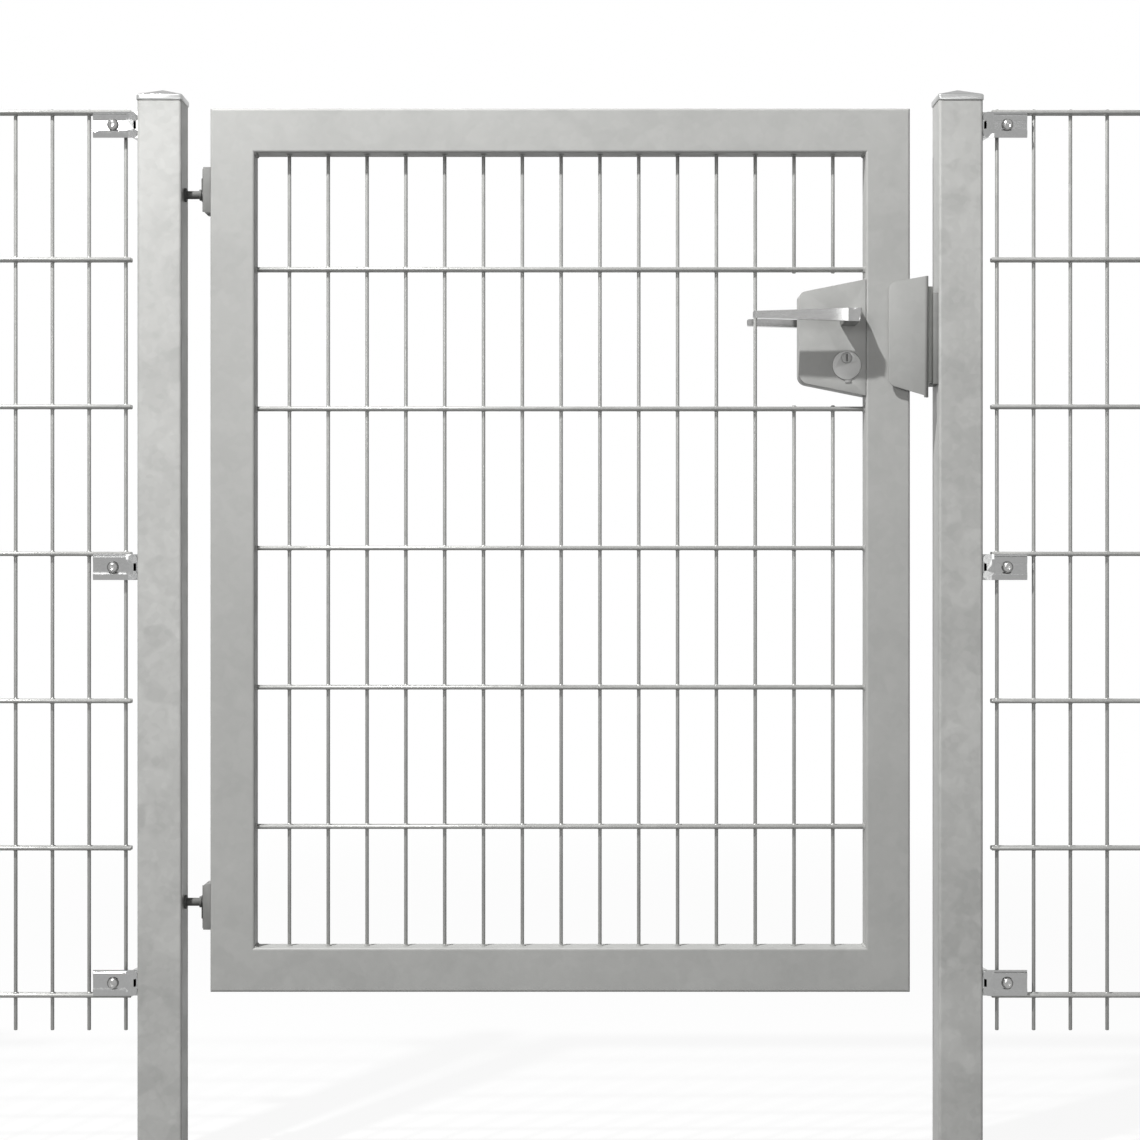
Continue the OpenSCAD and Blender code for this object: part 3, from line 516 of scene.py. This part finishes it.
def fence_mat(node):
    """A mat of eleven wires 50 mm apart and seven pairs of rods 200 mm apart."""
    low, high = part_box(node)
    y = (low.y + high.y) / 2
    wire_xs = [low.x + ROD_END + 50 * i * MM for i in range(11)]
    row_zs = [high.z - CAD_ROD_HALF - 200 * i * MM for i in range(7)]
    bm = bmesh.new()
    for x in wire_xs:
        bar(bm, (x, y, low.z), (x, y, high.z), WIRE_R, ease=1.2 * MM)
    rods(bm, low.x, high.x, row_zs, y)
    crossings(bm, wire_xs, row_zs, y)
    finished(node + "_welded", bm, node, finish="wire_galvanised_steel")


fence_mat("left_mat")
fence_mat("right_mat")

# %% [markdown]
# ## The leaf's own mesh
#
# The leaf carries the same kind of mesh, but in one piece with its frame: every wire and rod runs
# right up to a tube and is welded there, which leaves a small collar. Two wires are cut short
# above and below the lock, so that a hand can reach the lever. The whole mesh sits a little to
# the right of the leaf's middle, as it does in the photograph.

# %% Leaf mesh
INFILL_SHIFT = 1.3 * MM
FIRST_ROW, ROW_PITCH = 223 * MM, 190 * MM
WIRE_PITCH = 53 * MM
# Wires are cut short from this far left of the lock case on, and then run this far past the rods
LOCK_FREE = 26 * MM
STUB = 5 * MM
low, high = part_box("leaf_infill")
case_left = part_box("lock_case")[0].x
leaf_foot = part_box("bottom_rail")[0].z
middle = (low.x + high.x) / 2 + INFILL_SHIFT
wire_xs = [middle + WIRE_PITCH * (i - 7) for i in range(15)]
row_zs = [leaf_foot + FIRST_ROW + ROW_PITCH * i for i in range(5)]
whole = [(low.z, high.z)]
halves = [(low.z, row_zs[3] + STUB), (row_zs[4] - STUB, high.z)]
bm = bmesh.new()
for x in wire_xs:
    for start, end in halves if x > case_left - LOCK_FREE else whole:
        bar(bm, (x, 0, start), (x, 0, end), WIRE_R)
    for z in (low.z, high.z):
        swelling(bm, (x, 0, z), (4.2 * MM, 4.2 * MM, 2.6 * MM))
rods(bm, low.x, high.x, row_zs, 0)
for z in row_zs:
    for side in (-1, 1):
        for x in (low.x, high.x):
            swelling(bm, (x, side * ROD_OFF, z), (2.8 * MM, 4.8 * MM, 4.8 * MM))
crossings(bm, wire_xs, row_zs, 0)
finished("leaf_infill_welded", bm, "leaf_infill", finish="wire_galvanised_steel")

# %% [markdown]
# ## Weld beads
#
# The tubes of the leaf are mitred and welded, and the outside is ground flush before the leaf
# goes into the zinc. Only the beads in the inner corners are left. A bead is a row of overlapping
# lumps, as the welder's puddle froze step by step.


# %% Beads
def bead(bm, start, end, reach):
    """A row of lumps from start to end, each a little different in size."""
    start, end = Vector(start), Vector(end)
    count = max(2, round((end - start).length / (reach * 1.1)))
    for i in range(count + 1):
        size = reach * (1 + 0.12 * math.sin(2.3 * i))
        swelling(bm, start.lerp(end, i / count), (size, size, size))


BEAD_HALF = 15 * MM
bm = bmesh.new()
for x in (low.x, high.x):
    for z in (low.z, high.z):
        bead(bm, (x, -BEAD_HALF, z), (x, BEAD_HALF, z), 2.6 * MM)
finished("leaf_weld_beads", bm, "hinge_stile", replaces=False)

# %% [markdown]
# ## Fence clamps
#
# Each clamp is a cast plate with two ribs, on a foot that lies along the post. A bolt draws a
# loose plate up behind the rods. In the photograph the channel of the upper left clamp is white
# and its ribs are grey, with a thin white line along each. So the channel and a narrow crest on
# each rib are flat, the ribs' sides slope away from the crest, and the two lobes fall away
# towards the post. The solids are cut along those lines, the corners are moved back by up to
# 1.5 mm, and the shading keeps every flat face flat.

# %% Clamps and caps
POSTS = ("hinge_post", "lock_post", "left_end_post", "right_end_post")
# How far a clamp's front lies back at some heights above its bolt, both in millimetres
CLAMP_FRONT = [(-17.5, 1.4), (-12, 0), (-9.6, 0), (-8, 0.8), (5.5, 1.3), (10.8, 0), (13.5, 0),
               (15, 0.5), (17.5, 0)]
CREST_LINES = (-12, -9.6, 10.8)
# In millimetres from the clamp's end at the post: the lobes' planes end at the first, and the
# ribs' slopes start at the second, with a blend between them
LOBES_PLANE, LOBES_END = 13, 16
# How far the lobes lie back where they end, and how much more per millimetre towards the post
LOBE_BACK, LOBE_FALL = 0.3, 0.07
# A clamp's ledge lies above this height, and no further than this behind the front
LEDGE, LEDGE_BACK = 14, 1.6
# The radius of a bolt's head, and how far the middle clamp lies below the upper one
HEAD_R = 7.75 * MM
MIDDLE_CLAMP_BELOW = 600 * MM


def clamp_rows(bolts):
    """The heights of a post's three clamps, from the box of their bolts."""
    low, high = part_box(bolts)
    upper = high.z - HEAD_R
    return upper, upper - MIDDLE_CLAMP_BELOW, low.z + HEAD_R


def front_slope(height):
    """How far the front lies back at a height, between the values of the list."""
    for (low, back_low), (high, back_high) in zip(CLAMP_FRONT, CLAMP_FRONT[1:]):
        if height <= high:
            return back_low + (back_high - back_low) * (height - low) / (high - low)
    return CLAMP_FRONT[-1][1]


def cast_clamps(post):
    """Clamps whose ribs have a narrow flat crest, and whose lobes fall away to the post."""
    node, bolts = post + "_clamps", post + "_clamp_bolts"
    rows = clamp_rows(bolts)
    bolt_x = sum(corner.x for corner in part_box(bolts)) / 2
    low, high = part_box(node)
    foot, away = (low.x, 1) if bolt_x - low.x > high.x - bolt_x else (high.x, -1)

    def reshape(bm):
        for row in rows:
            for height in CREST_LINES:
                cut(bm, (0, 0, row + height * MM), (0, 0, 1))
        for along in (LOBES_END, LOBES_PLANE):
            cut(bm, (foot + away * along * MM, 0, 0), (1, 0, 0))
        for v in bm.verts:
            height = min((v.co.z - row for row in rows), key=abs) / MM
            along = (v.co.x - foot) * away / MM
            front = v.co.y < low.y + 0.1 * MM
            if front and along < LOBES_END - 0.5:
                v.co.y += (LOBE_BACK + LOBE_FALL * (LOBES_END - along)) * MM
            elif front or (v.co.y < low.y + LEDGE_BACK * MM and height > LEDGE):
                v.co.y += front_slope(height) * MM

    bm = eased(merged(node, reshape), 0.5 * MM)
    finished(node + "_cast", bm, node, smooth=3, finish="clamp_zinc")


for post in POSTS:
    cast_clamps(post)
    eased_copy(post + "_cap", 0.7 * MM, steeper=20)

# %% [markdown]
# ## Clamp bolts
#
# A clamp bolt has a low domed head with a hexagon socket, and a nut behind. Both are turned forms,
# so each starts as a profile that is spun once round. The socket and the nut get their six sides
# by moving the spun corners in or out to a hexagon's edge.


# %% Turned forms
def turned(bm, profile, place, six_sided, steps=24):
    """Spins (radius, height) points round Z, then puts the form in place with a matrix.

    six_sided gives the lowest and highest point between which the form is a hexagon across its
    flats, and the widest radius that takes part."""
    chain = [bm.verts.new((radius, 0, height)) for radius, height in profile]
    links = [bm.edges.new(pair) for pair in zip(chain, chain[1:])]
    before = set(bm.verts) - set(chain)
    bmesh.ops.spin(bm, geom=chain + links, cent=(0, 0, 0), axis=(0, 0, 1), angle=math.tau,
                   steps=steps, use_merge=True)
    made = [v for v in bm.verts if v not in before]
    bmesh.ops.remove_doubles(bm, verts=made, dist=0.001 * MM)
    made = [v for v in bm.verts if v not in before]
    lower, upper, widest = six_sided
    sixth = math.tau / 6
    for v in made:
        radius = math.hypot(v.co.x, v.co.y)
        if lower <= v.co.z <= upper and 0 < radius <= widest:
            angle = (math.atan2(v.co.y, v.co.x) + math.tau) % sixth - sixth / 2
            v.co.xy = v.co.xy / math.cos(angle) * math.cos(sixth / 2)
    faces = list({f for v in made for f in v.link_faces})
    bmesh.ops.recalc_face_normals(bm, faces=faces)
    bmesh.ops.transform(bm, matrix=place, verts=made)


QUARTER = math.radians(90)
FACING = {"front": Matrix.Rotation(QUARTER, 4, "X"), "back": Matrix.Rotation(-QUARTER, 4, "X"),
          "right": Matrix.Rotation(QUARTER, 4, "Y"), "left": Matrix.Rotation(-QUARTER, 4, "Y")}


def mm_profile(*points):
    return [(radius * MM, height * MM) for radius, height in points]


def at(x, y, z, facing):
    return Matrix.Translation((x, y, z)) @ FACING[facing]


# %% Clamp bolts
HEAD = mm_profile((0, 2.4), (2.3, 2.4), (2.9, 2.5), (2.9, 4.5), (3.4, 4.95), (4.9, 4.3),
                  (6.4, 3.0), (7.4, 1.4), (7.75, 0.6), (7.75, 0))
HEAD_SOCKET = (0.0023, 0.0046, 0.0030)
NUT = mm_profile((0, 0), (7.2, 0), (7.5, 0.5), (7.5, 5.7), (6.6, 6.5), (4.2, 6.5), (4.2, 6.1),
                 (4.0, 6.2), (3.5, 6.8), (4.0, 7.2), (3.5, 7.8), (3.8, 8.2), (3.2, 8.5), (0, 8.5))
NUT_SIDES = (-0.001, 0.0058, 0.0076)
# How far the head and the nut with its thread's end stand off the clamp
HEAD_RISE, NUT_RISE = 5 * MM, 8.5 * MM
# The shank's radius, and how far short of the head and the nut it ends, hidden in the clamp
SHANK_R, SHANK_SHORT = 4 * MM, 1 * MM


def clamp_bolts(node):
    low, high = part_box(node)
    x, front, back = (low.x + high.x) / 2, low.y + HEAD_RISE, high.y - NUT_RISE
    bm = bmesh.new()
    for z in clamp_rows(node):
        turned(bm, HEAD, at(x, front, z, "front"), HEAD_SOCKET)
        turned(bm, NUT, at(x, back, z, "back"), NUT_SIDES)
        bar(bm, (x, front + SHANK_SHORT, z), (x, back - SHANK_SHORT, z), SHANK_R)
    finished(node + "_domed", bm, node, finish="bolt_stainless_steel")


for post in POSTS:
    clamp_bolts(post + "_clamp_bolts")

# %% [markdown]
# ## Hinges
#
# Each hinge is a threaded rod with a barrel at its end. The rod passes through a flanged bush in
# the post, and the barrel turns on a pin in the housing that is welded to the leaf.

# %% Hinges
for end in ("upper", "lower"):
    # The hinges' rods and bushes are painted dark: painted shade
    eased_copy(end + "_hinge_bolt", 0.5 * MM, steeper=40, finish="shaded_hinge_zinc")
    eased_copy(end + "_hinge_bush", 0.6 * MM, steeper=40, finish="shaded_hinge_zinc")
    eased_copy(end + "_hinge_housing", 0.5 * MM, steeper=40, finish="housing_galvanised_steel")
    eased_copy(end + "_hinge_pin", 0.8 * MM, steeper=40)

# %% [markdown]
# ## The lock
#
# The lock case is a flat steel box in the corner between mesh and stile. On it sit two round key
# rosettes with the cylinder's plug between them, and a lever on each side. The levers are the
# brightest things on the gate, smooth enough to mirror the studio.

# %% Lock
eased_copy("lock_case", 0.9 * MM, segments=3)
eased_copy("lock_faceplate", 0.4 * MM)
eased_copy("lock_cylinder", 0.3 * MM, steeper=40, finish="cylinder_stainless_steel")
eased_copy("front_rosette", 0.4 * MM, steeper=40, finish="rosette_zinc")
eased_copy("back_rosette", 0.4 * MM, steeper=40, finish="rosette_zinc")

# %% [markdown]
# ## The levers
#
# A lever is flat to the hand for most of its length and then sinks a little towards its neck,
# ending in a crisp crease. That slow bend catches a white card at the side of the studio, which
# gives the bright patch at the lever's end. The CAD lever has the flat and the neck; a few cuts
# across its face let the bend be made by moving each cut back a little.

# %% Levers
# The crease's distance from the lever's end at the neck, and the bend's steps and depth
CREASE_IN = 14 * MM
BEND_STEP, BEND_STEPS = 6 * MM, 6
BEND_DEPTH = 1.6 * MM
# Corners within this depth of the lever's outermost face move with the bend
FACE_DEPTH = 4 * MM


def bent_lever(node, side):
    """A lever whose face sinks over the last 36 mm before its neck."""
    bm = merged(node)
    low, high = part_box(node)
    crease = high.x - CREASE_IN
    for step in range(BEND_STEPS + 1):
        cut(bm, (crease - step * BEND_STEP, 0, 0), (1, 0, 0))
    outer = max(abs(low.y), abs(high.y)) - FACE_DEPTH
    for v in bm.verts:
        if abs(v.co.y) > outer and v.co.x <= crease + 1 * MM:
            along = max(0.0, 1 - (crease - v.co.x) / (BEND_STEP * BEND_STEPS))
            v.co.y -= side * BEND_DEPTH * along ** 2
    finished(node + "_bent", eased(bm, 1.0 * MM, segments=3, steeper=40), node, smooth=9)


bent_lever("front_lever", -1)
bent_lever("back_lever", 1)

# %% [markdown]
# ## Keeper and hood
#
# The keeper is a base plate and a body with a pocket for the latch. The hood is bent from one
# plate, and stops the closed leaf.

# %% Keeper and hood
# The keeper's base is painted darker: painted shade
eased_copy("keeper_base", 0.6 * MM, finish="housing_galvanised_steel")
eased_copy("keeper_body", 0.5 * MM)
# The hood is painted darker than the tubes: painted shade
eased_copy("stop_hood", 0.6 * MM, finish="shaded_hood_galvanised_steel")

# %% [markdown]
# ## Latch, bolt and screws
#
# The open gate shows the edge of its lock: the noses of the latch and the bolt, drawn back to
# just below the face plate, and the two screws that hold the plate. Two more screws hold the
# keeper's body at the floor of its pocket. A latch's nose is slanted, so that it rides over the
# keeper as the gate closes, and it starts here as a block whose far corners are drawn back.

# %% Latch, bolt and screws
SCREW = mm_profile((0, 0.05), (1.3, 0.05), (1.45, 0.45), (2.6, 0.5), (3.5, 0.3), (3.8, 0))
SCREW_SOCKET = (0.0, 0.0005, 0.0015)
# Distance of the bolt from the latch, of the plate's screws from its ends, and of the keeper's
# screws from its middle and from its left side
BOLT_BELOW = 55 * MM
PLATE_SCREW_IN = 9 * MM
KEEPER_SCREW_OUT, KEEPER_SCREW_DEEP = 30 * MM, 8 * MM


def nose(name, z, height, slant):
    """A latch or bolt end in its mouth in the face plate."""
    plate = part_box("lock_faceplate")[1].x
    bm = bmesh.new()
    made = bmesh.ops.create_cube(bm, size=1.0,
                                 matrix=Matrix.Translation((plate - 0.55 * MM, 0, z))
                                 @ Matrix.Diagonal((0.9 * MM, 11.2 * MM, height, 1)))
    for v in made["verts"]:
        if v.co.x > plate - 0.5 * MM and v.co.y > 0:
            v.co.x -= slant
    finished(name, eased(bm, 0.2 * MM), "lock_faceplate", replaces=False)


def screws(name, node, places, slot=None):
    bm = bmesh.new()
    for place in places:
        turned(bm, SCREW, place, SCREW_SOCKET)
    finished(name, bm, node, replaces=False, slot=slot)


latch_z = sum(corner.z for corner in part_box("spindle")) / 2
nose("latch_nose", latch_z, 32 * MM, 0.6 * MM)
nose("bolt_nose", latch_z - BOLT_BELOW, 28 * MM, 0)
low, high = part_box("lock_faceplate")
screws("faceplate_screws", "lock_faceplate",
       [at(high.x, 0, z, "right") for z in (low.z + PLATE_SCREW_IN, high.z - PLATE_SCREW_IN)])
low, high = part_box("keeper_body")
keeper_z = (low.z + high.z) / 2
screws("keeper_screws", "keeper_body",
       [at(low.x + KEEPER_SCREW_DEEP, 0, keeper_z + side * KEEPER_SCREW_OUT, "left")
        for side in (-1, 1)], slot="stainless_steel")

# %% [markdown]
# ## The visual box
#
# The dressed model has to stay in the CAD model's box; the box of what is shown is printed.

# %% Sizes
low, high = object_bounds()
print("visual box:", [round(v, 4) for v in low], [round(v, 4) for v in high])
